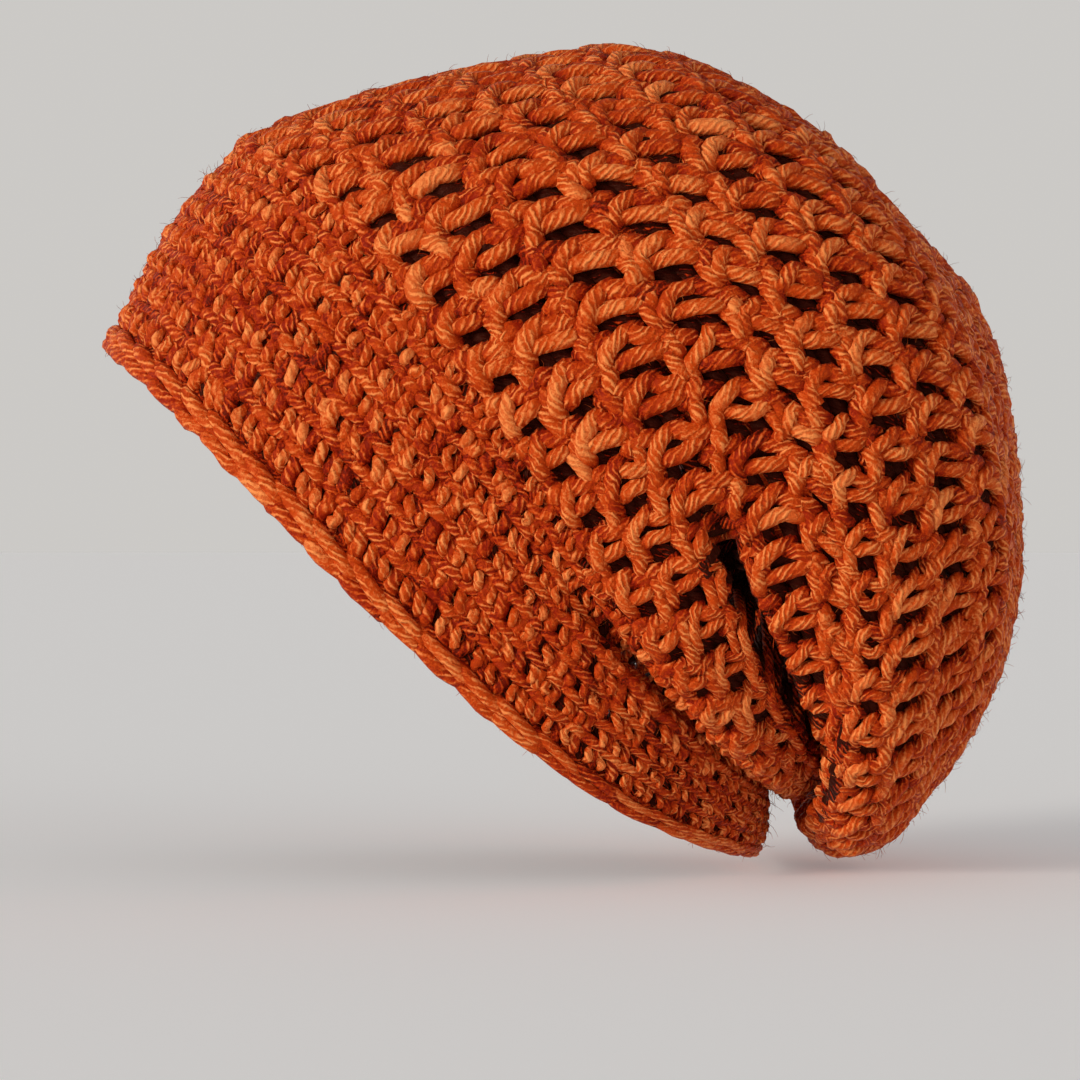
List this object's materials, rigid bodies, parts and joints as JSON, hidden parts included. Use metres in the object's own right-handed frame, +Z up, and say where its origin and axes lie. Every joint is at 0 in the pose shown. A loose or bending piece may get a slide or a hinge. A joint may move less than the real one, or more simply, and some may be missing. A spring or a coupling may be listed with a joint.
{
  "type": "crocheted slouch beanie",
  "caption": "Crocheted slouch beanie in burnt orange yarn: close-stitched band with a cord edge, and an open-stitched bag that hangs in folds behind the head.",
  "frame": {"origin": "middle of the tilted rim opening, where the hat sits on a head", "axes": "+Z up, -Y towards the wearer's face, +X towards the wearer's left"},
  "size_m": [0.206, 0.2843, 0.2498],
  "materials": {
    "edge_yarn": "plied yarn in chain stitches, matt with a soft sheen",
    "band_yarn": "plied yarn in close single crochet, matt with a soft sheen",
    "bag_yarn": "plied yarn in open tall stitches, matt with a soft sheen",
    "crown_yarn": "plied yarn drawn together in shrinking rounds, matt with a soft sheen"
  },
  "bodies": {
    "root": {"rim_edge": "edge_yarn", "brim_band": "band_yarn", "slouch_bag": "bag_yarn", "crown": "crown_yarn"}
  },
  "joints": []
}
